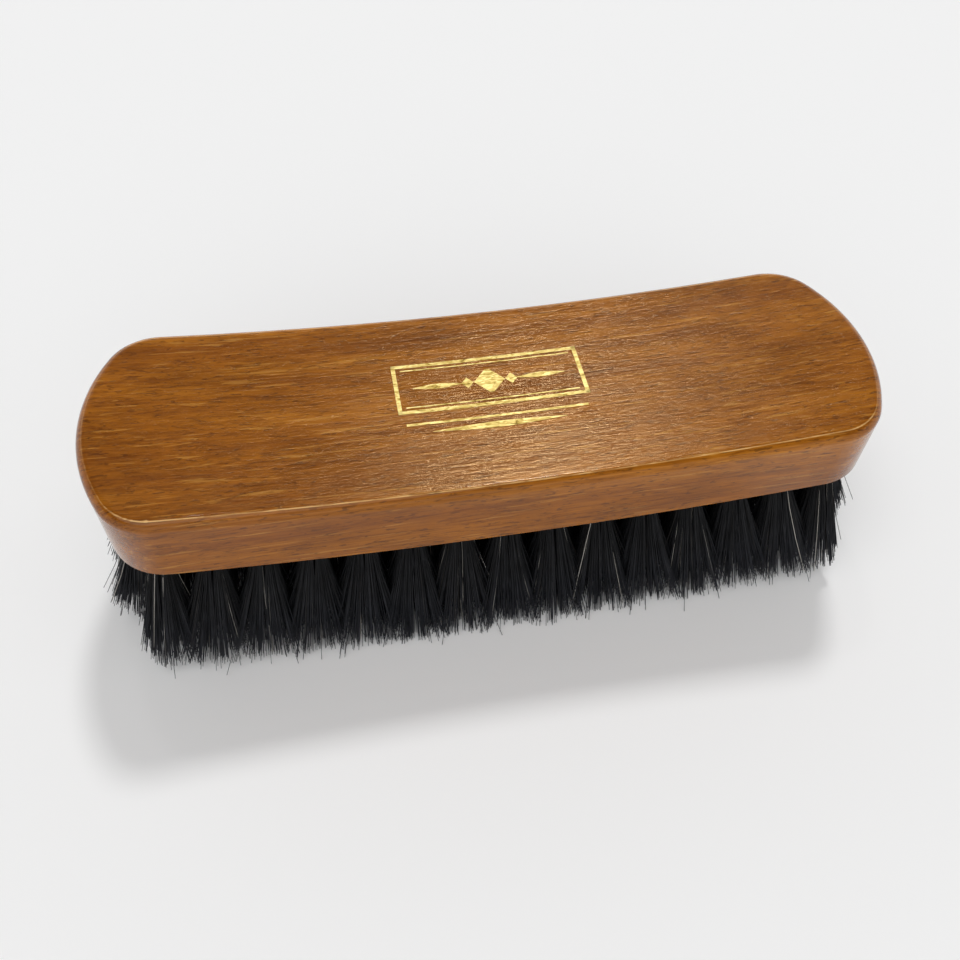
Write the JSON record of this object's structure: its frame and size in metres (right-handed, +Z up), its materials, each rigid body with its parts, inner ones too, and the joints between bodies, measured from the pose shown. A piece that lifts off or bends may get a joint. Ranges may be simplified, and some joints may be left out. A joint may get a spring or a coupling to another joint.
{
  "type": "shoe shine brush",
  "caption": "Palm-held shoe shine brush: a bowed, lacquered hardwood block with rounded ends and rows of splayed black horsehair tufts, each held in a drilled hole by a flat wire anchor.",
  "frame": {"origin": "on the surface that the trimmed hair stands on, under the middle of the brush", "axes": "+X along the block, +Y across it, +Z up out of the palm face of the block"},
  "size_m": [0.1766, 0.0624, 0.0472],
  "materials": {
    "block": "stained, clear satin lacquer",
    "hair": "dyed black horsehair, trimmed",
    "anchor": "drawn flat wire"
  },
  "bodies": {
    "root": {"tuft_anchors_row_1": "anchor", "tuft_anchors_row_2": "anchor", "tuft_anchors_row_3": "anchor", "tuft_anchors_row_4": "anchor", "tuft_anchors_row_5": "anchor", "tuft_column_01": "hair", "tuft_column_02": "hair", "tuft_column_03": "hair", "tuft_column_04": "hair", "tuft_column_05": "hair", "tuft_column_06": "hair", "tuft_column_07": "hair", "tuft_column_08": "hair", "tuft_column_09": "hair", "tuft_column_10": "hair", "tuft_column_11": "hair", "tuft_column_12": "hair", "tuft_column_13": "hair", "tuft_column_14": "hair", "tuft_column_15": "hair", "tuft_column_16": "hair", "tuft_column_17": "hair", "tuft_column_18": "hair", "tuft_column_19": "hair", "tuft_column_20": "hair", "tuft_column_21": "hair", "tuft_column_22": "hair", "tuft_column_23": "hair", "tuft_column_24": "hair", "tuft_column_25": "hair", "tuft_column_26": "hair", "tuft_column_27": "hair", "tuft_column_28": "hair", "tuft_column_29": "hair", "tuft_column_30": "hair", "tuft_column_31": "hair", "tuft_column_32": "hair", "tuft_column_33": "hair", "wooden_block": "block"}
  },
  "joints": []
}
